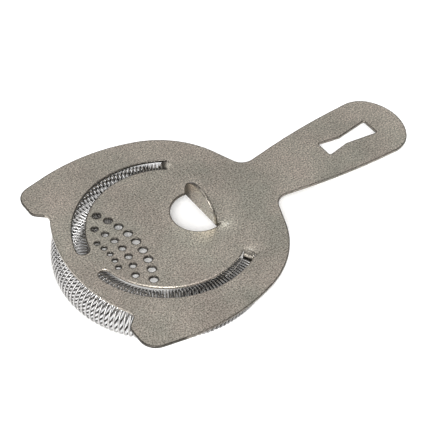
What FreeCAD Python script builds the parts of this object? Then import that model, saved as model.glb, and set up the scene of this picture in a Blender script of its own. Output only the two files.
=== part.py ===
"""Hawthorne strainer: one bent sheet-metal plate and one long coil spring threaded on it.

Millimetres, +Z up, +X towards the end of the handle. The origin is the centre of the two arc
slots, on the plate's underside, which is the face that rests on the rim of a shaker tin.
"""
import FreeCAD, Part
import math
import os

from FreeCAD import Vector

os.makedirs("parts", exist_ok=True)

# ---------------------------------------------------------------- driving dimensions
SHEET = 1.2  # thickness of the stamped plate

# Half outline from the handle's end to the front, as (x, y, corner radius).
OUTLINE = [
    (118.0, 0.0, 20.2),  # rounded end of the handle
    (105.6, 17.0, 11.6),  # handle's end corner
    (74.5, 15.9, 280.0),  # slightly bowed side of the handle
    (43.7, 10.85, 6.0),  # inside corner where handle meets disc
    (31.9, 41.4, 39.0),  # disc shoulder
    (-6.0, 53.8, 78.0),  # disc side
    (-39.6, 47.2, 7.0),  # outer corner of the ear
    (-39.6, 34.6, 3.5),  # inner corner of the ear
    (-34.4, 30.1, 2.4),  # notch between ear and front edge
    (-50.0, 0.0, 61.0),  # front edge
]

SLOT_RADIUS = 34.0  # middle of the arc slots
SLOT_WIDTH = 5.0
SLOT_BACK = 57.0  # degrees from the handle to the slot's square end
SLOT_FRONT = 167.0  # degrees from the handle to the middle of the slot's round end

TONGUE_WIDTH = 4.2  # strip of the slot that is bent down into the spring
TONGUE_TOP = -2.2  # height of the strip's upper face inside the spring
TONGUE_TIP = 78.0  # degrees from the handle to the strip's tip
TONGUE_ROOT = 0.8  # how far the bends run on into the flat metal at each end

TAB_HOLE_X = 14.4  # finger tab: the round hole that it is cut from
TAB_HOLE_RADIUS = 10.9
TAB_FOLD_X = 17.3  # where the tab folds up out of the plate
TAB_FOLD_RADIUS = 1.0  # inside radius of the fold
TAB_ANGLE = 86.0  # degrees that the tab is folded up
TAB_CLEARANCE = 0.3  # cutting gap round the tab

# Rows of drain holes: x of the middle hole, radius of the row's arc, count, spacing, diameter.
DRAIN_ROWS = [
    (-14.2, 41.0, 9, 5.2, 3.1),
    (-20.4, 32.0, 7, 4.95, 2.5),
    (-25.8, 26.0, 5, 3.8, 1.9),
]

# Hourglass hole for hanging: half outline as (x, y).
HANG_HOLE = [(76.0, 4.0), (85.6, 2.2), (99.9, 4.2)]
HANG_CORNER = 0.6

RING_X = -2.1  # centre of the spring's ring
RING_RADIUS = 34.2  # middle line of the spring
RING_END = 61.5  # degrees from the handle to each end of the spring, about the origin
COIL_DIAMETER = 18.8  # outside of the coil
WIRE = 0.8
COIL_GAP = 0.6  # from the plate's underside to the top of the coil
COIL_TURNS = 98
END_CROWDING = 1.45  # turns are this many times closer at the spring's ends than at its front
FRONT_SPAN = 46.0  # degrees each side of the front that move in when the spring is pressed
CUT_GAP = 0.02  # between the lengths of wire that the spring is divided into

POINTS_PER_TURN = 16


# ---------------------------------------------------------------- outline helpers
def unit(vector):
    length = vector.Length
    return Vector(vector.x / length, vector.y / length, vector.z / length)


def corner_arc(before, corner, after, radius):
    """The arc of this radius that rounds a corner, tangent to both of its sides."""
    back = unit(before - corner)
    ahead = unit(after - corner)
    half = back.getAngle(ahead) / 2
    reach = radius / math.tan(half)
    middle = corner + unit(back + ahead) * (radius / math.sin(half) - radius)
    return Part.Arc(corner + back * reach, middle, corner + ahead * reach)


def rounded_face(corners):
    """A flat face in z = 0 from a closed list of (x, y, radius)."""
    points = [Vector(x, y, 0) for x, y, radius in corners]
    arcs = []
    for i, (x, y, radius) in enumerate(corners):
        before = points[i - 1]
        after = points[(i + 1) % len(points)]
        arcs.append(corner_arc(before, points[i], after, radius))
    edges = []
    for i, arc in enumerate(arcs):
        last_end = arcs[i - 1].EndPoint
        if (arc.StartPoint - last_end).Length > 1e-3:
            edges.append(Part.LineSegment(last_end, arc.StartPoint).toShape())
        edges.append(arc.toShape())
    return Part.Face(Part.Wire(Part.__sortEdges__(edges)))


def mirrored(half):
    """A closed outline from its half on +Y: points on the axis are used once."""
    other = [(x, -y, radius) for x, y, radius in reversed(half) if y > 0]
    return half + other


def on_circle(radius, degrees, z=0.0):
    angle = math.radians(degrees)
    return Vector(radius * math.cos(angle), radius * math.sin(angle), z)


# ---------------------------------------------------------------- plate
def blank():
    """The stamped outline of disc, ears and handle."""
    return rounded_face(mirrored(OUTLINE)).extrude(Vector(0, 0, SHEET))


def band(inner, outer, start, stop, low, high):
    """Part of a flat ring about the Z axis, between two angles and two heights."""
    corners = [
        Vector(inner, 0, low),
        Vector(outer, 0, low),
        Vector(outer, 0, high),
        Vector(inner, 0, high),
    ]
    face = Part.Face(Part.makePolygon(corners + corners[:1]))
    solid = face.revolve(Vector(0, 0, 0), Vector(0, 0, 1), stop - start)
    solid.rotate(Vector(0, 0, 0), Vector(0, 0, 1), start)
    return solid


def bent(corner, side_a, side_b, pivot, degrees):
    """A bend: the rectangle on two sides from a corner, swept about an axis along Y."""
    points = [corner, corner + side_a, corner + side_a + side_b, corner + side_b, corner]
    face = Part.Face(Part.makePolygon(points))
    return face.revolve(pivot, Vector(0, 1, 0), degrees)


def arc_slot():
    """Cutter for the slot on +Y: square at the handle side, round at the front."""
    half = SLOT_WIDTH / 2
    inner = SLOT_RADIUS - half
    outer = SLOT_RADIUS + half
    cutter = band(inner, outer, SLOT_BACK, SLOT_FRONT, -SHEET, 2 * SHEET)
    tip = Part.makeCylinder(half, 3 * SHEET, on_circle(SLOT_RADIUS, SLOT_FRONT, -SHEET))
    return cutter.fuse(tip)


def drain_holes():
    """Cutters for the fan of drain holes."""
    cutters = []
    for middle_x, row_radius, count, spacing, diameter in DRAIN_ROWS:
        centre_x = middle_x - row_radius
        step = spacing / row_radius
        for i in range(count):
            angle = (i - (count - 1) / 2) * step
            x = centre_x + row_radius * math.cos(angle)
            y = row_radius * math.sin(angle)
            cutters.append(Part.makeCylinder(diameter / 2, 3 * SHEET, Vector(x, y, -SHEET)))
    return cutters


def hang_hole():
    half = [(x, y, HANG_CORNER) for x, y in HANG_HOLE]
    hole = rounded_face(mirrored(half)).extrude(Vector(0, 0, 3 * SHEET))
    hole.translate(Vector(0, 0, -SHEET))
    return hole


def tab_hole():
    """The D-shaped hole that the finger tab leaves."""
    hole = Part.makeCylinder(TAB_HOLE_RADIUS, 3 * SHEET, Vector(TAB_HOLE_X, 0, -SHEET))
    keep = Part.makeBox(50, 50, 6 * SHEET, Vector(TAB_FOLD_X, -25, -2 * SHEET))
    return hole.cut(keep)


def finger_tab():
    """The tab that the finger pushes: a fold and a half-round leaf standing on it."""
    radius = TAB_HOLE_RADIUS - TAB_CLEARANCE
    pivot = Vector(TAB_FOLD_X, 0, SHEET + TAB_FOLD_RADIUS)
    across = Vector(0, 2 * radius, 0)
    fold = bent(Vector(TAB_FOLD_X, -radius, 0), across, Vector(0, 0, SHEET), pivot, TAB_ANGLE)
    fold_length = math.radians(TAB_ANGLE) * (TAB_FOLD_RADIUS + SHEET / 2)
    leaf_centre = TAB_HOLE_X + fold_length
    leaf = Part.makeCylinder(radius, SHEET, Vector(leaf_centre, 0, 0))
    leaf = leaf.cut(Part.makeBox(50, 50, 4 * SHEET, Vector(TAB_FOLD_X, -25, -SHEET)))
    leaf.rotate(pivot, Vector(0, 1, 0), TAB_ANGLE)
    return fold.fuse(leaf)


def tongue():
    """The strip on +Y, bent down in an S and running on inside the spring."""
    bend = (SHEET - TONGUE_TOP) / 2  # middle radius of each half of the S
    side = -TONGUE_WIDTH / 2
    level = SHEET / 2 - bend  # where the S is upright
    across = Vector(0, TONGUE_WIDTH, 0)
    up = Vector(0, 0, 1)
    root = Part.makeBox(TONGUE_ROOT, TONGUE_WIDTH, SHEET, Vector(-TONGUE_ROOT, side, 0))
    upper = bent(Vector(0, side, 0), across, up * SHEET, Vector(0, 0, level), 90)
    waist = Vector(bend - SHEET / 2, side, level)
    lower = bent(waist, across, Vector(SHEET, 0, 0), Vector(2 * bend, 0, level), -90)
    foot = Part.makeBox(TONGUE_ROOT, TONGUE_WIDTH, SHEET, Vector(2 * bend, side, TONGUE_TOP - SHEET))
    bends = root.fuse([upper, lower, foot])

    # lay the S along the slot, pointing to the front
    bend_angle = math.degrees(2 * bend / SLOT_RADIUS)
    bends.rotate(Vector(0, 0, 0), up, SLOT_BACK + 90 + bend_angle / 2)
    bends.translate(on_circle(SLOT_RADIUS, SLOT_BACK))

    inner = SLOT_RADIUS - TONGUE_WIDTH / 2
    outer = SLOT_RADIUS + TONGUE_WIDTH / 2
    low = TONGUE_TOP - SHEET
    strip = band(inner, outer, SLOT_BACK + bend_angle, TONGUE_TIP, low, TONGUE_TOP)
    tip = Part.makeCylinder(TONGUE_WIDTH / 2, SHEET, on_circle(SLOT_RADIUS, TONGUE_TIP, low))
    return bends.fuse([strip, tip])


def both_sides(solid):
    """A solid on +Y and its mirror image on -Y."""
    return [solid, solid.mirror(Vector(0, 0, 0), Vector(0, 1, 0))]


def strainer_plate():
    plate = blank()
    cutters = both_sides(arc_slot()) + drain_holes() + [hang_hole(), tab_hole()]
    plate = plate.cut(Part.makeCompound(cutters))
    plate = plate.fuse(both_sides(tongue()) + [finger_tab()])
    return plate.removeSplitter()


# ---------------------------------------------------------------- spring
def ring_limit():
    """Degrees from the front to the spring's end, seen from the ring's own centre."""
    end = math.radians(RING_END)
    reach = RING_X * math.cos(end)
    along = reach + math.sqrt(RING_RADIUS**2 - (RING_X * math.sin(end)) ** 2)
    return 180 - math.degrees(math.atan2(along * math.sin(end), along * math.cos(end) - RING_X))


LIMIT = ring_limit()


def turns_at(degrees):
    """Turns of wire between the front and this many degrees from it."""
    share = degrees / LIMIT
    crowding = (END_CROWDING - 1) / 3
    return COIL_TURNS / 2 * share * (1 + crowding * share**2) / (1 + crowding)


def degrees_at(turns):
    """The angle from the front that has this many turns before it."""
    low = -LIMIT
    high = LIMIT
    for _ in range(50):
        middle = (low + high) / 2
        if turns_at(middle) < turns:
            low = middle
        else:
            high = middle
    return (low + high) / 2


def wire_point(turns):
    """A point on the wire's middle line."""
    angle = math.radians(180 + degrees_at(turns))
    turn = 2 * math.pi * turns
    winding = (COIL_DIAMETER - WIRE) / 2
    radius = RING_RADIUS + winding * math.cos(turn)
    height = -COIL_GAP - COIL_DIAMETER / 2 + winding * math.sin(turn)
    return Vector(RING_X + radius * math.cos(angle), radius * math.sin(angle), height)


def wire_length(start, stop):
    """The wire between two counts of turns from the front, as one solid."""
    count = int(round((stop - start) * POINTS_PER_TURN))
    points = [wire_point(start + (stop - start) * i / count) for i in range(count + 1)]
    curve = Part.BSplineCurve()
    curve.interpolate(points)
    ahead = curve.tangent(curve.FirstParameter)[0]
    section = Part.Wire(Part.makeCircle(WIRE / 2, points[0], ahead))
    path = Part.Wire(curve.toShape())
    return path.makePipeShell([section], True, True)


def coils(first, last, pieces):
    """A stretch of the spring, from first to last degrees, as several lengths of wire."""
    start = turns_at(first)
    step = (turns_at(last) - start) / pieces
    gap = CUT_GAP / (math.pi * COIL_DIAMETER)  # in turns
    lengths = [
        wire_length(start + i * step + gap / 2, start + (i + 1) * step - gap / 2)
        for i in range(pieces)
    ]
    return Part.makeCompound(lengths)


def main():
    # the left arm lies on +Y and the right arm on -Y, as seen from the handle
    strainer_plate().exportStep("parts/strainer_plate.step")
    coils(-FRONT_SPAN, FRONT_SPAN, 6).exportStep("parts/spring_front.step")
    coils(-LIMIT, -FRONT_SPAN, 6).exportStep("parts/spring_left_arm.step")
    coils(FRONT_SPAN, LIMIT, 6).exportStep("parts/spring_right_arm.step")


main()
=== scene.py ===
"""Looks of the hawthorne strainer: a tumbled steel plate and the long coil spring threaded on it.

Sizes are in millimetres and follow the CAD part; meshes are built in metres, in its frame:
+X to the end of the handle, +Z up, origin at the centre of the two arc slots on the underside.
"""

import bpy
import math
import numpy as np
from mathutils import Matrix, Vector
from mathutils.geometry import delaunay_2d_cdt


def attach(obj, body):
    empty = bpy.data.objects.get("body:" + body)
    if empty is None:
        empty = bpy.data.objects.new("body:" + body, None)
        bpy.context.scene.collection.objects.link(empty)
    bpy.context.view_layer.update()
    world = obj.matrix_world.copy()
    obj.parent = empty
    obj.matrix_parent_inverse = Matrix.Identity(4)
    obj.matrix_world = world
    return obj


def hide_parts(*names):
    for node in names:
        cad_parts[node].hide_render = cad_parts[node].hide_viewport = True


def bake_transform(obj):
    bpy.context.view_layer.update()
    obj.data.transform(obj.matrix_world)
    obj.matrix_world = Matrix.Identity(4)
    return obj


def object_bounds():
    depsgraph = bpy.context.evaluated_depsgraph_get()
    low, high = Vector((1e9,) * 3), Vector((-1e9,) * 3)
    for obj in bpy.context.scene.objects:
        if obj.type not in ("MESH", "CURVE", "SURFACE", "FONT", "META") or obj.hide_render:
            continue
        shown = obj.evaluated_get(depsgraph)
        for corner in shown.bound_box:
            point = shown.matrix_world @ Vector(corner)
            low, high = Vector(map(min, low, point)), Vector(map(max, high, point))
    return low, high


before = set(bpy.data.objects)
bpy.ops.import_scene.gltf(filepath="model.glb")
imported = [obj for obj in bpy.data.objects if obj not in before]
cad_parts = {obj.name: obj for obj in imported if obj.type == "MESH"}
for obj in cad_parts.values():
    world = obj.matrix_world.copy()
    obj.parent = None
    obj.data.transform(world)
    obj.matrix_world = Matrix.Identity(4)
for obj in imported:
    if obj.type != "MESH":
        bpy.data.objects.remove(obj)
cad_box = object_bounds()

MM = 0.001

# ---------------------------------------------------------------- sizes shared with the CAD part
SHEET = 1.2

OUTLINE = [
    (118.0, 0.0, 20.2),
    (105.6, 17.0, 11.6),
    (74.5, 15.9, 280.0),
    (43.7, 10.85, 6.0),
    (31.9, 41.4, 39.0),
    (-6.0, 53.8, 78.0),
    (-39.6, 47.2, 7.0),
    (-39.6, 34.6, 3.5),
    (-34.4, 30.1, 2.4),
    (-50.0, 0.0, 61.0),
]

SLOT_RADIUS = 34.0
SLOT_WIDTH = 5.0
SLOT_BACK = math.radians(57)
SLOT_FRONT = math.radians(167)

TONGUE_WIDTH = 4.2
TONGUE_TOP = -2.2
TONGUE_TIP = math.radians(78)
TONGUE_BEND = (SHEET - TONGUE_TOP) / 2

TAB_HOLE_X = 14.4
TAB_HOLE_RADIUS = 10.9
TAB_FOLD_X = 17.3
TAB_FOLD_RADIUS = 1.0
TAB_ANGLE = math.radians(86)
TAB_CLEARANCE = 0.3
TAB_FOLD_LENGTH = TAB_ANGLE * (TAB_FOLD_RADIUS + SHEET / 2)

DRAIN_ROWS = [
    (-14.2, 41.0, 9, 5.2, 3.1),
    (-20.4, 32.0, 7, 4.95, 2.5),
    (-25.8, 26.0, 5, 3.8, 1.9),
]

HANG_HOLE = [(76.0, 4.0), (85.6, 2.2), (99.9, 4.2)]
HANG_CORNER = 0.6

RING_X = -2.1
RING_RADIUS = 34.2
RING_END = math.radians(61.5)
COIL_DIAMETER = 18.8
WIRE = 0.8
COIL_GAP = 0.6
COIL_TURNS = 98
END_CROWDING = 1.45
HAND = 1  # sense in which the coil winds

# Metal pushed up or drawn down beside the bends, on both sides: x, y, height and width.
BULGES = [
    (18.6, 10.4, 0.28, 1.3),
    (19.6, 29.6, -0.22, 1.5),
]

# ---------------------------------------------------------------- tones
# Painted shade on the cut walls of the sheet: how bright they are, against its flat metal.
OUTER_EDGE = 0.4
FRONT_EDGE = 0.7  # between the ears
FRONT_EDGE_X = -28
FRONT_EDGE_Y = 31
EAR_EDGE = 0.15
EAR_EDGE_X = -25
HOLE_EDGES = [0.3, 1.0, 0.3, 0.35]  # slot on +Y, slot on -Y, slit of the tab, hanging hole
DRAIN_EDGE = 0.2

# How bright the painted reflections, glints, light and shade are.
# Painted reflection on the finger tab: light where it mirrors the floor through the finger hole,
# dark at its +Y end where it mirrors the plate.
TAB_REFLECTION_LIGHT = 1.75
TAB_REFLECTION_Y = 4.5  # the tab carries the bright painted reflection up to here
TAB_REFLECTION_FADE = 3.5
TAB_REFLECTION_DARK = 0.4
# Painted dark reflection on the bent tongues.
TONGUE_DARK_REFLECTION = 0.35
PAINTED_GLINTS = [  # painted glints beside the bends: x, y, how much brighter, width
    (19.6, 12.2, 0.5, 2.2),
    (18.9, 27.8, 1.3, 0.8),
]
HALO = 0.14  # lighter ring round the finger hole
HALO_WIDTH = 3.5
SIDE_SHADE = 0.93  # painted shade: the side on -Y is a little darker
SIDE_SHADE_SLOPE = 0.0016
SIDE_SHADE_REACH = 50
HANDLE_LIGHT = 0.28  # painted light: the end of the handle is lighter
HANDLE_LIGHT_X = 55
HANDLE_LIGHT_FADE = 60
WIRE_INNER_SHADE_AND_ROUGH = 0.9  # painted shade and extra roughness where the wire faces into the coil, but not low at the front
WIRE_LOW_Z = -5
WIRE_LOW_FADE = 4
WIRE_FRONT_X = -8
WIRE_FRONT_FADE = 8

# ---------------------------------------------------------------- mesh fineness
EDGE_RADIUS = 0.28  # tumbled edge of the sheet
EDGE_STEPS = 4
EDGE_HOLD = 0.34  # width of the flat strip that keeps the edge's shading to the edge
LONG_STEP = 1.0  # longest side along an outline
FOLD_STEP = 0.3  # the same where the sheet is bent
CORNER_TURN = 0.25  # largest turn between two points of a rounded corner
CORNER_STEPS = 3  # fewest steps in a rounded corner
ARC_TURN = 0.3
ARC_STEPS = 2
DRAIN_STEPS = 9  # steps along a drain hole, in its diameter
MITRE_LIMIT = 1.5
SAME_POINT = 1e-4
SAME_CORNER = 1e-5  # the same when the sheet is cut into triangles
GRID = 1.7  # spacing of the points inside the plate
GRID_ROWS = GRID * math.sqrt(0.75)
GRID_TO_FOLD = 2.2  # the even net stays this far from the middle of the fold
GRID_TO_EDGE = 0.25  # and this far from the flat strip along an edge
FOLD_COLUMNS = 21  # points across the fold
FOLD_SPARE = 3  # fine steps beyond the fold
TONGUE_COLUMNS = np.linspace(-0.3, 0.3, 4)  # points across a tongue, in its width
TONGUE_SPARE = 2
TONGUE_TIP_SPARE = 0.3  # the flat tongue ends within this angle past the bent one
WIRE_STEPS = 30  # points of the wire in one turn
WIRE_SIDES = 10
CROWDING_STEPS = 4001


# ---------------------------------------------------------------- outlines
def corner_arc(before, corner, after, radius):
    """Points of the arc that rounds a corner."""
    back = (before - corner) / np.linalg.norm(before - corner)
    ahead = (after - corner) / np.linalg.norm(after - corner)
    half = math.acos(np.clip(back @ ahead, -1, 1)) / 2
    middle = (back + ahead) / np.linalg.norm(back + ahead)
    centre = corner + middle * radius / math.sin(half)
    start = corner + back * radius / math.tan(half) - centre
    turn = math.pi - 2 * half
    if back[0] * ahead[1] - back[1] * ahead[0] > 0:
        turn = -turn
    count = max(CORNER_STEPS, int(abs(turn) * radius / LONG_STEP), int(abs(turn) / CORNER_TURN))
    angles = np.linspace(0, turn, count + 1)
    cos, sin = np.cos(angles), np.sin(angles)
    x = start[0] * cos - start[1] * sin
    y = start[0] * sin + start[1] * cos
    return np.stack([x, y], 1) + centre


def rounded(half):
    """A closed outline that is the same on both sides of the X axis."""
    other = [(x, -y, radius) for x, y, radius in reversed(half) if y > 0]
    corners = half + other
    points = [np.array(c[:2]) for c in corners]
    arcs = []
    for i, corner in enumerate(corners):
        after = points[(i + 1) % len(points)]
        arcs.append(corner_arc(points[i - 1], points[i], after, corner[2]))
    return filled(np.concatenate(arcs), LONG_STEP)


def filled(loop, step):
    """The loop with its long sides divided, and doubled points left out."""
    out = []
    for a, b in zip(loop, np.roll(loop, -1, axis=0)):
        length = np.linalg.norm(b - a)
        if length < SAME_POINT:
            continue
        count = max(1, math.ceil(length / step))
        out += [a + (b - a) * i / count for i in range(count)]
    return np.array(out)


def arc(x, y, radius, start, stop, step=LONG_STEP):
    """Points of an arc, both ends included."""
    turn = abs(stop - start)
    count = max(ARC_STEPS, math.ceil(turn * radius / step), math.ceil(turn / ARC_TURN))
    angles = np.linspace(start, stop, count + 1)
    return np.stack([x + radius * np.cos(angles), y + radius * np.sin(angles)], 1)


def slot_loop():
    """Edge of the slot on +Y, with the tongue still flat in it."""
    inner = SLOT_RADIUS - SLOT_WIDTH / 2
    outer = SLOT_RADIUS + SLOT_WIDTH / 2
    low = SLOT_RADIUS - TONGUE_WIDTH / 2
    high = SLOT_RADIUS + TONGUE_WIDTH / 2
    tip_x = SLOT_RADIUS * math.cos(SLOT_FRONT)
    tip_y = SLOT_RADIUS * math.sin(SLOT_FRONT)
    flat_tip = TONGUE_TIP + (math.pi - 2) * TONGUE_BEND / SLOT_RADIUS
    end_x = SLOT_RADIUS * math.cos(flat_tip)
    end_y = SLOT_RADIUS * math.sin(flat_tip)
    tip_turn = (flat_tip - math.pi, flat_tip - 2 * math.pi)
    return np.concatenate([
        arc(0, 0, outer, SLOT_BACK, SLOT_FRONT),
        arc(tip_x, tip_y, SLOT_WIDTH / 2, SLOT_FRONT, SLOT_FRONT + math.pi),
        arc(0, 0, inner, SLOT_FRONT, SLOT_BACK),
        arc(0, 0, low, SLOT_BACK, flat_tip, FOLD_STEP),
        arc(end_x, end_y, TONGUE_WIDTH / 2, *tip_turn, FOLD_STEP),
        arc(0, 0, high, flat_tip, SLOT_BACK, FOLD_STEP),
    ])


def tab_loop():
    """The slit round the finger tab, with the tab still flat."""
    leaf = TAB_HOLE_RADIUS - TAB_CLEARANCE
    open_angle = math.acos((TAB_FOLD_X - TAB_HOLE_X) / TAB_HOLE_RADIUS)
    leaf_angle = math.acos((TAB_FOLD_X - TAB_HOLE_X) / leaf)
    return np.concatenate([
        arc(TAB_HOLE_X, 0, TAB_HOLE_RADIUS, open_angle, 2 * math.pi - open_angle),
        arc(TAB_HOLE_X, 0, leaf, 2 * math.pi - leaf_angle, leaf_angle, FOLD_STEP),
    ])


def drain_loops():
    """Edges of the drain holes, row by row."""
    loops = []
    for middle_x, row_radius, count, spacing, diameter in DRAIN_ROWS:
        for i in range(count):
            angle = (i - (count - 1) / 2) * spacing / row_radius
            x = middle_x - row_radius + row_radius * math.cos(angle)
            y = row_radius * math.sin(angle)
            hole = arc(x, y, diameter / 2, 0, 2 * math.pi, diameter / DRAIN_STEPS)
            loops.append(hole[:-1])
    return loops


def plate_loops():
    """Every edge of the flat sheet: the outside first, then the holes."""
    slot = slot_loop()
    hang = rounded([(x, y, HANG_CORNER) for x, y in HANG_HOLE])
    holes = [slot, slot * (1, -1), tab_loop(), hang] + drain_loops()
    loops = [rounded(OUTLINE)] + [filled(hole, LONG_STEP) for hole in holes]
    return [wound(loop, i == 0) for i, loop in enumerate(loops)]


def wound(loop, outside):
    """The loop with the metal on its left."""
    after = np.roll(loop, -1, axis=0)
    area = (loop[:, 0] * after[:, 1] - loop[:, 1] * after[:, 0]).sum()
    return loop if (area > 0) == outside else loop[::-1]


def inset(loop, distance):
    """The loop moved into the metal."""
    ahead = np.roll(loop, -1, axis=0) - loop
    ahead /= np.linalg.norm(ahead, axis=1)[:, None]
    behind = np.roll(ahead, 1, axis=0)
    normal = np.stack([-(ahead + behind)[:, 1], (ahead + behind)[:, 0]], 1)
    length = np.linalg.norm(normal, axis=1)
    normal /= length[:, None]
    mitre = np.clip(2 / length, 1, MITRE_LIMIT)
    return loop + normal * (mitre * distance)[:, None]


def inside(points, loop):
    """Which points lie inside a closed loop."""
    x, y = points[:, 0], points[:, 1]
    result = np.zeros(len(points), bool)
    for (x1, y1), (x2, y2) in zip(loop, np.roll(loop, -1, axis=0)):
        if y1 == y2:
            continue
        crosses = (y1 > y) != (y2 > y)
        result ^= crosses & (x < (x2 - x1) * (y - y1) / (y2 - y1) + x1)
    return result


# ---------------------------------------------------------------- plate
def grid_points(loops):
    """Points inside the flat sheet: an even net, and closer rows where it will be bent."""
    low, high = loops[0].min(0), loops[0].max(0)
    rows = np.arange(low[1], high[1], GRID_ROWS)
    points = []
    for i, y in enumerate(rows):
        xs = np.arange(low[0] + (i % 2) * GRID / 2, high[0], GRID)
        points.append(np.stack([xs, np.full(len(xs), y)], 1))
    points = np.concatenate(points)

    leaf = TAB_HOLE_RADIUS - TAB_CLEARANCE
    fold_x = TAB_FOLD_X - np.arange(0, TAB_FOLD_LENGTH + FOLD_SPARE * FOLD_STEP, FOLD_STEP)
    fold_y = np.linspace(-leaf, leaf, FOLD_COLUMNS)
    fold = np.array([(x, y) for x in fold_x for y in fold_y])
    bend_length = math.pi * TONGUE_BEND + TONGUE_SPARE * FOLD_STEP
    bend_angles = SLOT_BACK + np.arange(0, bend_length, FOLD_STEP) / SLOT_RADIUS
    radii = SLOT_RADIUS + TONGUE_COLUMNS * TONGUE_WIDTH
    bend = np.array([(r * math.cos(a), r * math.sin(a)) for a in bend_angles for r in radii])
    beside_fold = abs(points[:, 0] - fold_x.mean()) < GRID_TO_FOLD
    near_fold = beside_fold & (abs(points[:, 1]) < leaf)
    points = np.concatenate([points[~near_fold], fold, bend, bend * (1, -1)])

    keep = inside(points, loops[0])
    for hole in loops[1:]:
        keep &= ~inside(points, hole)
    points = points[keep]
    edge = np.concatenate(loops)
    margin = EDGE_RADIUS + EDGE_HOLD + GRID_TO_EDGE
    close = np.array([((edge - p) ** 2).sum(1).min() < margin**2 for p in points])
    return points[~close]


def edge_painted_shade(number, loop):
    """How bright the cut wall of one edge of the sheet is, point by point: painted shade."""
    if number == 0:
        front = (loop[:, 0] < FRONT_EDGE_X) & (abs(loop[:, 1]) < FRONT_EDGE_Y)
        ear = (loop[:, 0] < EAR_EDGE_X) & ~front
        return np.where(front, FRONT_EDGE, np.where(ear, EAR_EDGE, OUTER_EDGE))
    if number <= len(HOLE_EDGES):
        return np.full(len(loop), HOLE_EDGES[number - 1])
    return np.full(len(loop), DRAIN_EDGE)


def band(before, here):
    """Faces between two rings of vertices."""
    return np.stack([before, here, np.roll(here, -1), np.roll(before, -1)], 1).tolist()


def flat_sheet():
    """Vertices, faces and edge tones (painted shade on the cut walls) of the flat sheet with its
    rounded edges.
    """
    loops = plate_loops()
    levels = []  # (inset, height) round the edge from the top to the underside
    for i in range(EDGE_STEPS + 1):
        turn = math.pi / 2 * i / EDGE_STEPS
        distance = EDGE_RADIUS * (1 - math.sin(turn))
        levels.append((distance, SHEET - EDGE_RADIUS * (1 - math.cos(turn))))
    levels = [(EDGE_RADIUS + EDGE_HOLD, SHEET)] + levels
    levels += [(distance, SHEET - height) for distance, height in reversed(levels)]

    cap_points = [inset(loop, levels[0][0]) for loop in loops]
    sides = []
    start = 0
    for points in cap_points:
        sides += [(start + i, start + (i + 1) % len(points)) for i in range(len(points))]
        start += len(points)
    flat = np.concatenate(cap_points + [grid_points(loops)])
    result = delaunay_2d_cdt([Vector(p) for p in flat], sides, [], 0, SAME_CORNER)
    flat = np.array([tuple(p) for p in result[0]])
    triangles = np.array(result[2])
    centres = flat[triangles].mean(1)
    keep = inside(centres, cap_points[0])
    for hole in cap_points[1:]:
        keep &= ~inside(centres, hole)
    triangles = triangles[keep]

    count = len(flat)
    top = np.column_stack([flat, np.full(count, SHEET)])
    vertices = [top, np.column_stack([flat, np.zeros(count)])]
    tones = [np.ones(2 * count)]
    faces = triangles.tolist() + (triangles[:, ::-1] + count).tolist()
    total = 2 * count
    start = 0
    for number, loop in enumerate(loops):
        size = len(loop)
        ring = np.arange(size)
        before = start + ring
        for distance, height in levels[1:-1]:
            vertices.append(np.column_stack([inset(loop, distance), np.full(size, height)]))
            tones.append(edge_painted_shade(number, loop))
            here = total + ring
            faces += band(before, here)
            before = here
            total += size
        here = start + count + ring
        faces += band(before, here)
        start += size
    return np.concatenate(vertices), faces, np.concatenate(tones)


def fold_tab(flat):
    """Where the points of the flat finger tab go when it is folded up."""
    x, y, z = flat.T
    along = TAB_FOLD_X - x
    turn = np.clip(along / TAB_FOLD_LENGTH, 0, 1) * TAB_ANGLE
    beyond = np.clip(along - TAB_FOLD_LENGTH, 0, None)
    reach = SHEET + TAB_FOLD_RADIUS - z
    new_x = TAB_FOLD_X - reach * np.sin(turn) - beyond * np.cos(turn)
    new_z = SHEET + TAB_FOLD_RADIUS - reach * np.cos(turn) + beyond * np.sin(turn)
    return np.column_stack([new_x, y, new_z])


def bend_tongue(flat):
    """Where the points of a flat tongue go when it is bent down in an S."""
    x, y, z = flat.T
    radius = np.hypot(x, y)
    along = (np.arctan2(abs(y), x) - SLOT_BACK) * SLOT_RADIUS
    quarter = math.pi / 2 * TONGUE_BEND
    first = np.clip(along / quarter, 0, 1) * math.pi / 2
    second = np.clip(along / quarter - 1, 0, 1) * math.pi / 2
    beyond = np.clip(along - 2 * quarter, 0, None)
    level = SHEET / 2 - TONGUE_BEND
    reach = z - level
    back = 2 * TONGUE_BEND - reach
    upper = along <= quarter
    lower_ahead = 2 * TONGUE_BEND - back * np.cos(second) + beyond
    ahead = np.where(upper, reach * np.sin(first), lower_ahead)
    new_z = np.where(upper, level + reach * np.cos(first), level - back * np.sin(second))
    angle = SLOT_BACK + ahead / SLOT_RADIUS
    new_y = np.sign(y) * radius * np.sin(angle)
    return np.column_stack([radius * np.cos(angle), new_y, new_z])


def on_tab(flat):
    """Which points of the flat sheet belong to the finger tab."""
    x, y = flat[:, 0], flat[:, 1]
    in_slit = np.hypot(x - TAB_HOLE_X, y) < TAB_HOLE_RADIUS - TAB_CLEARANCE / 2
    return in_slit & (x < TAB_FOLD_X)


def on_tongue(flat):
    """Which points of the flat sheet belong to the tongues."""
    x, y = flat[:, 0], flat[:, 1]
    angle = np.arctan2(abs(y), x)
    in_slot = abs(np.hypot(x, y) - SLOT_RADIUS) < (SLOT_WIDTH + TONGUE_WIDTH) / 4
    return in_slot & (angle > SLOT_BACK) & (angle < TONGUE_TIP + TONGUE_TIP_SPARE)


def nearness(x, y, place_x, place_y, width):
    """1 at a place and at its mirror image on the other side, less and less away from them."""
    return np.exp(-((x - place_x) ** 2 + (abs(y) - place_y) ** 2) / (2 * width**2))


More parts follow.
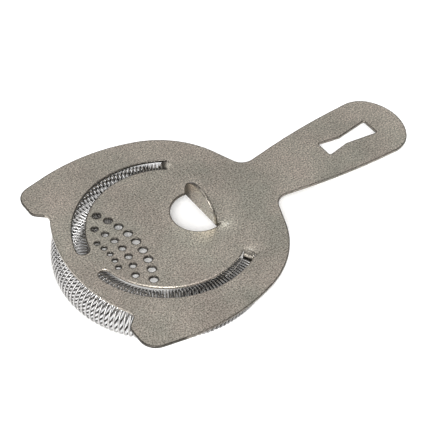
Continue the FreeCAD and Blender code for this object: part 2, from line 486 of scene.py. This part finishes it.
def shaped(flat):
    """The flat sheet with its tab and tongues bent, and the metal swollen beside the bends."""
    out = flat.copy()
    tab = on_tab(flat)
    tongue = on_tongue(flat)
    out[tab] = fold_tab(flat[tab])
    out[tongue] = bend_tongue(flat[tongue])
    rest = ~tab & ~tongue
    x, y = flat[rest, 0], flat[rest, 1]
    for bulge_x, bulge_y, height, width in BULGES:
        out[rest, 2] += height * nearness(x, y, bulge_x, bulge_y, width)
    return out


def painted_light_and_tones(flat, tones):
    """Edge tones with the painted reflections of the tab and tongues, painted glints, painted
    shade on the -Y side, painted light at the handle's end and a lighter ring round the finger
    hole added to them.
    """
    x, y = flat[:, 0], flat[:, 1]
    tab = on_tab(flat)
    # painted reflection on the tab: light, then dark towards its +Y end
    fade = np.clip((y - TAB_REFLECTION_Y) / TAB_REFLECTION_FADE, 0, 1)
    tones = np.where(tab, tones * (TAB_REFLECTION_LIGHT - (TAB_REFLECTION_LIGHT - TAB_REFLECTION_DARK) * fade), tones)
    # painted dark reflection on the bent tongues
    tones = np.where(on_tongue(flat), tones * TONGUE_DARK_REFLECTION, tones)
    # painted glints on the plate beside the bends
    for place_x, place_y, more, width in PAINTED_GLINTS:
        tones = tones * np.where(tab, 1, 1 + more * nearness(x, y, place_x, place_y, width))
    from_hole = np.hypot(x - TAB_HOLE_X, y) - TAB_HOLE_RADIUS
    tones = tones * np.where(tab, 1, 1 + HALO * np.exp(-((from_hole / HALO_WIDTH) ** 2)))
    # painted shade, darker towards -Y
    side = SIDE_SHADE + SIDE_SHADE_SLOPE * np.clip(y, -SIDE_SHADE_REACH, SIDE_SHADE_REACH)
    # painted light, lighter towards the end of the handle
    handle = 1 + HANDLE_LIGHT * np.clip((x - HANDLE_LIGHT_X) / HANDLE_LIGHT_FADE, 0, 1)
    return tones * side * handle


def new_mesh(name, vertices, faces):
    """A smooth piece in the scene."""
    mesh = bpy.data.meshes.new(name)
    mesh.from_pydata(vertices.tolist(), [], faces)
    mesh.validate()
    mesh.shade_smooth()
    piece = bpy.data.objects.new(name, mesh)
    bpy.context.scene.collection.objects.link(piece)
    return piece


def add_values(piece, name, values):
    """A number for each vertex, for the materials to read."""
    attribute = piece.data.attributes.new(name, "FLOAT", "POINT")
    attribute.data.foreach_set("value", np.asarray(values, np.float32))


def make_plate():
    """The strainer's plate with its tones, which hold painted light, shade and reflections."""
    flat, faces, tones = flat_sheet()
    piece = new_mesh("tumbled_plate", shaped(flat) * MM, faces)
    add_values(piece, "tone", painted_light_and_tones(flat, tones))
    return piece


# ---------------------------------------------------------------- spring
def ring_limit():
    """Angle from the front to the spring's end, seen from the ring's own centre."""
    reach = RING_X * math.cos(RING_END)
    along = reach + math.sqrt(RING_RADIUS**2 - (RING_X * math.sin(RING_END)) ** 2)
    end_x = along * math.cos(RING_END) - RING_X
    return math.pi - math.atan2(along * math.sin(RING_END), end_x)


def wire_line():
    """Points of the wire's middle line, and their places in the coil's cross-section."""
    limit = ring_limit()
    crowding = (END_CROWDING - 1) / 3
    half = COIL_TURNS / 2
    shares = np.linspace(-1, 1, CROWDING_STEPS)
    turns_of_shares = half * shares * (1 + crowding * shares**2) / (1 + crowding)
    turns = np.linspace(-half, half, COIL_TURNS * WIRE_STEPS + 1)
    angle = math.pi + limit * np.interp(turns, turns_of_shares, shares)
    turn = 2 * math.pi * turns * HAND
    winding = (COIL_DIAMETER - WIRE) / 2
    radius = RING_RADIUS + winding * np.cos(turn)
    height = -COIL_GAP - COIL_DIAMETER / 2 + winding * np.sin(turn)
    line = np.stack([RING_X + radius * np.cos(angle), radius * np.sin(angle), height], 1)
    level = np.cos(turn)
    outward = np.stack([level * np.cos(angle), level * np.sin(angle), np.sin(turn)], 1)
    return line, outward


def make_spring():
    """The whole wound wire, with values along it and around it for its material."""
    line, outward = wire_line()
    tangent = np.gradient(line, axis=0)
    tangent /= np.linalg.norm(tangent, axis=1)[:, None]
    outward -= tangent * (outward * tangent).sum(1)[:, None]
    outward /= np.linalg.norm(outward, axis=1)[:, None]
    side = np.cross(tangent, outward)
    around = np.arange(WIRE_SIDES) * 2 * math.pi / WIRE_SIDES
    ring = outward[:, None] * np.cos(around)[:, None]
    ring = ring + side[:, None] * np.sin(around)[:, None]
    vertices = (line[:, None] + ring * WIRE / 2).reshape(-1, 3)
    count = len(line)
    here = (np.arange(count - 1)[:, None] * WIRE_SIDES + np.arange(WIRE_SIDES)).ravel()
    beside = here + np.where(here % WIRE_SIDES == WIRE_SIDES - 1, 1 - WIRE_SIDES, 1)
    faces = np.stack([here, beside, beside + WIRE_SIDES, here + WIRE_SIDES], 1).tolist()
    faces.append(list(range(WIRE_SIDES))[::-1])
    faces.append(list(range((count - 1) * WIRE_SIDES, count * WIRE_SIDES)))
    piece = new_mesh("coil_spring", vertices * MM, faces)
    length = np.concatenate([[0], np.cumsum(np.linalg.norm(np.diff(line, axis=0), axis=1))])
    add_values(piece, "along", np.repeat(length * MM, WIRE_SIDES))
    add_values(piece, "around", np.tile(np.arange(WIRE_SIDES) / WIRE_SIDES, count))
    # the painted shade inside the coil is left off low at the front
    low = np.clip((WIRE_LOW_Z - line[:, 2]) / WIRE_LOW_FADE, 0, 1)
    front = np.clip((WIRE_FRONT_X - line[:, 0]) / WIRE_FRONT_FADE, 0, 1)
    add_values(piece, "inner_shade_and_rough", np.repeat(WIRE_INNER_SHADE_AND_ROUGH * (1 - low * front), WIRE_SIDES))
    return piece


# ---------------------------------------------------------------- materials
NOISE_SPAN = (0.3, 0.7)  # most values of a noise lie in here
SHARP_SPAN = (0.35, 0.65)

STEEL_WARM = (0.55, 0.485, 0.42)
STEEL_COOL = (0.475, 0.45, 0.385)
CLOUD_SHADES = (0.82, 1.12)
MOTTLE_SHADES = (0.93, 1.07)
GRAIN_SHADES = (0.3, 1.7)
STEEL_ROUGHNESS = (0.29, 0.39)
RELIEF_MOTTLE = 0.6
RELIEF_GRAIN = 0.4

WIRE_DARK = (0.42, 0.41, 0.40)
WIRE_LIGHT = (0.51, 0.50, 0.49)
WIRE_LINES_ALONG = 60
WIRE_LINES_AROUND = 14
WIRE_SHADES = (0.9, 1.08)
WIRE_ROUGHNESS = (0.12, 0.2)
WIRE_DULL_ROUGHNESS = 0.6
INNER_SIDE = 0.5  # the place around the wire that faces into the coil
INNER_SPAN = (0.22, 0.45)  # the wire has its painted shade and extra roughness up to the first distance from it


class Nodes:
    """A material's node tree, with short calls for the nodes used here."""

    def __init__(self, name):
        self.material = bpy.data.materials.new(name)
        self.material.use_nodes = True
        self.tree = self.material.node_tree
        self.shader = self.tree.nodes["Principled BSDF"]

    def link(self, source, target):
        self.tree.links.new(source, target)

    def node(self, kind, **settings):
        node = self.tree.nodes.new(kind)
        for key, value in settings.items():
            setattr(node, key, value)
        return node

    def place(self):
        return self.node("ShaderNodeTexCoord").outputs["Object"]

    def noise(self, place, scale, detail, roughness=0.5):
        node = self.node("ShaderNodeTexNoise")
        node.inputs["Scale"].default_value = scale
        node.inputs["Detail"].default_value = detail
        node.inputs["Roughness"].default_value = roughness
        self.link(place, node.inputs["Vector"])
        return node.outputs["Fac"]

    def ramp(self, source, low, high, low_value, high_value):
        node = self.node("ShaderNodeMapRange")
        node.inputs["From Min"].default_value = low
        node.inputs["From Max"].default_value = high
        node.inputs["To Min"].default_value = low_value
        node.inputs["To Max"].default_value = high_value
        self.link(source, node.inputs["Value"])
        return node.outputs["Result"]

    def math(self, operation, first, second):
        node = self.node("ShaderNodeMath", operation=operation)
        for socket, value in zip(node.inputs, (first, second)):
            if isinstance(value, (int, float)):
                socket.default_value = value
            else:
                self.link(value, socket)
        return node.outputs[0]

    def mix(self, share, first, second):
        node = self.node("ShaderNodeMix", data_type="RGBA")
        self.link(share, node.inputs["Factor"])
        for socket, value in ((node.inputs["A"], first), (node.inputs["B"], second)):
            if isinstance(value, tuple):
                socket.default_value = (*value, 1)
            else:
                self.link(value, socket)
        return node.outputs["Result"]

    def scaled(self, colour, factor):
        """A colour made lighter or darker by a number from another node."""
        node = self.node("ShaderNodeVectorMath", operation="SCALE")
        self.link(colour, node.inputs[0])
        self.link(factor, node.inputs["Scale"])
        return node.outputs[0]

    def bump(self, height, distance, strength):
        node = self.node("ShaderNodeBump")
        node.inputs["Distance"].default_value = distance
        node.inputs["Strength"].default_value = strength
        self.link(height, node.inputs["Height"])
        self.link(node.outputs["Normal"], self.shader.inputs["Normal"])

    def attribute(self, name):
        return self.node("ShaderNodeAttribute", attribute_name=name).outputs["Fac"]


def tumbled_steel():
    """Matte grey steel: cloudy warm and greenish patches, fine grain, and the plate's tones,
    which hold painted light, shade and reflections.
    """
    m = Nodes("tumbled_steel")
    place = m.place()
    clouds = m.noise(place, scale=26, detail=3)
    tint = m.noise(place, scale=40, detail=3, roughness=0.6)
    mottle = m.noise(place, scale=420, detail=4, roughness=0.65)
    grain = m.noise(place, scale=1700, detail=3, roughness=0.75)
    colour = m.mix(m.ramp(tint, *SHARP_SPAN, 0, 1), STEEL_WARM, STEEL_COOL)
    shade = m.ramp(clouds, *NOISE_SPAN, *CLOUD_SHADES)
    shade = m.math("MULTIPLY", shade, m.ramp(mottle, *NOISE_SPAN, *MOTTLE_SHADES))
    shade = m.math("MULTIPLY", shade, m.ramp(grain, *SHARP_SPAN, *GRAIN_SHADES))
    # the plate's tones hold painted light, shade and reflections
    shade = m.math("MULTIPLY", shade, m.attribute("tone"))
    m.link(m.scaled(colour, shade), m.shader.inputs["Base Color"])
    m.shader.inputs["Metallic"].default_value = 1.0
    m.link(m.ramp(mottle, *NOISE_SPAN, *STEEL_ROUGHNESS), m.shader.inputs["Roughness"])
    coarse = m.math("MULTIPLY", mottle, RELIEF_MOTTLE)
    fine = m.math("MULTIPLY", grain, RELIEF_GRAIN)
    m.bump(m.math("ADD", coarse, fine), distance=0.00004, strength=0.5)
    return m.material


def bright_wire():
    """Bright drawn wire with faint lines along it, with painted shade and extra roughness where
    it faces into the coil.
    """
    m = Nodes("bright_wire")
    lines_at = m.node("ShaderNodeCombineXYZ")
    m.link(m.math("MULTIPLY", m.attribute("along"), WIRE_LINES_ALONG), lines_at.inputs["X"])
    m.link(m.math("MULTIPLY", m.attribute("around"), WIRE_LINES_AROUND), lines_at.inputs["Y"])
    lines = m.noise(lines_at.outputs[0], scale=1, detail=3)
    patches = m.noise(m.place(), scale=300, detail=3)
    colour = m.mix(m.ramp(patches, *SHARP_SPAN, 0, 1), WIRE_DARK, WIRE_LIGHT)
    from_inside = m.math("ABSOLUTE", m.math("SUBTRACT", m.attribute("around"), INNER_SIDE), 0)
    inner_shade_and_roughness = m.math("MULTIPLY", m.ramp(from_inside, *INNER_SPAN, 1, 0), m.attribute("inner_shade_and_rough"))
    # painted shade where the wire faces into the coil
    shade = m.math("SUBTRACT", m.ramp(lines, *NOISE_SPAN, *WIRE_SHADES), inner_shade_and_roughness)
    m.link(m.scaled(colour, shade), m.shader.inputs["Base Color"])
    m.shader.inputs["Metallic"].default_value = 1.0
    rough = m.ramp(patches, *NOISE_SPAN, *WIRE_ROUGHNESS)
    rough = m.math("ADD", rough, m.math("MULTIPLY", inner_shade_and_roughness, WIRE_DULL_ROUGHNESS))
    m.link(rough, m.shader.inputs["Roughness"])
    m.bump(lines, distance=0.00001, strength=0.3)
    return m.material


# ---------------------------------------------------------------- stage
FLOOR_DROP = 0.0002  # the floor lies this far under the spring
FLOOR_SIZE = 3.0
FLOOR_COLOUR = (0.85, 0.85, 0.85, 1)
FLOOR_ROUGHNESS = 0.9
FLOOR_GLOW = 0.24

CAMERA_PLACE = Vector((-222.84, -341.29, 421.5)) * MM
CAMERA_TARGET = Vector((19.06, -4.63, 0.0)) * MM
CAMERA_ROLL = math.radians(0.8)
CAMERA_LENS = 128.2
CAMERA_SENSOR = 36.0
CAMERA_CLIP = 0.01

WORLD_GLOW = 0.12
LIGHTS = {  # direction from the strainer, distance and size in metres, radiance
    "key": ((-0.42, -0.56, 0.713), 1.4, 0.22, 135.0),
    "overhead": ((0.05, 0.1, 1.0), 1.3, 1.0, 1.9),
    "far_left": ((-0.72, 0.57, 0.45), 1.3, 0.8, 2.1),
    "far_fill": ((0.41, 0.57, 0.71), 1.6, 1.4, 0.4),
    "near_fill": ((0.15, -0.75, 0.6), 1.5, 1.3, 0.8),
    "low_left": ((-0.90, -0.45, 0.28), 1.2, 0.7, 7.0),
}


def look_at(place, target, roll=0.0):
    """Where something at a place stands when it faces a target."""
    turn = (target - place).to_track_quat("-Z", "Y").to_matrix().to_4x4()
    return Matrix.Translation(place) @ turn @ Matrix.Rotation(roll, 4, "Z")


def make_camera():
    data = bpy.data.cameras.new("camera")
    data.lens = CAMERA_LENS
    data.sensor_width = CAMERA_SENSOR
    data.clip_start = CAMERA_CLIP
    camera = bpy.data.objects.new("camera", data)
    camera.matrix_world = look_at(CAMERA_PLACE, CAMERA_TARGET, CAMERA_ROLL)
    bpy.context.scene.collection.objects.link(camera)
    bpy.context.scene.camera = camera


def pale_floor():
    """Plain pale floor, with a little glow of its own."""
    m = Nodes("pale_floor")
    m.shader.inputs["Base Color"].default_value = FLOOR_COLOUR
    m.shader.inputs["Emission Color"].default_value = (1, 1, 1, 1)
    m.shader.inputs["Emission Strength"].default_value = FLOOR_GLOW
    m.shader.inputs["Roughness"].default_value = FLOOR_ROUGHNESS
    m.shader.inputs["Specular IOR Level"].default_value = 0.0
    return m.material


def make_floor():
    half = FLOOR_SIZE / 2
    level = cad_box[0][2] - FLOOR_DROP
    corners = [(-half, -half), (half, -half), (half, half), (-half, half)]
    floor = new_mesh("floor", np.array([(x, y, level) for x, y in corners]), [(0, 1, 2, 3)])
    floor.data.materials.append(pale_floor())


def add_light(name, direction, distance, size, radiance):
    """A square soft light that shines on the strainer from a direction."""
    data = bpy.data.lights.new(name, "AREA")
    data.shape = "SQUARE"
    data.size = size
    data.energy = radiance * math.pi * size**2
    light = bpy.data.objects.new(name, data)
    light.matrix_world = look_at(Vector(direction).normalized() * distance, Vector((0, 0, 0)))
    bpy.context.scene.collection.objects.link(light)


def make_light():
    world = bpy.data.worlds.new("studio")
    bpy.context.scene.world = world
    world.use_nodes = True
    background = world.node_tree.nodes["Background"]
    background.inputs["Color"].default_value = (1, 1, 1, 1)
    background.inputs["Strength"].default_value = WORLD_GLOW
    for name, light in LIGHTS.items():
        add_light(name, *light)
    bpy.context.scene.view_settings.view_transform = "Standard"


# ---------------------------------------------------------------- the strainer
plate = make_plate()
plate.data.materials.append(tumbled_steel())
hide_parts("strainer_plate")
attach(plate, "plate")

spring = make_spring()
spring.data.materials.append(bright_wire())
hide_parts("spring_left_arm", "spring_front", "spring_right_arm")
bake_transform(spring)

make_camera()
make_floor()
make_light()
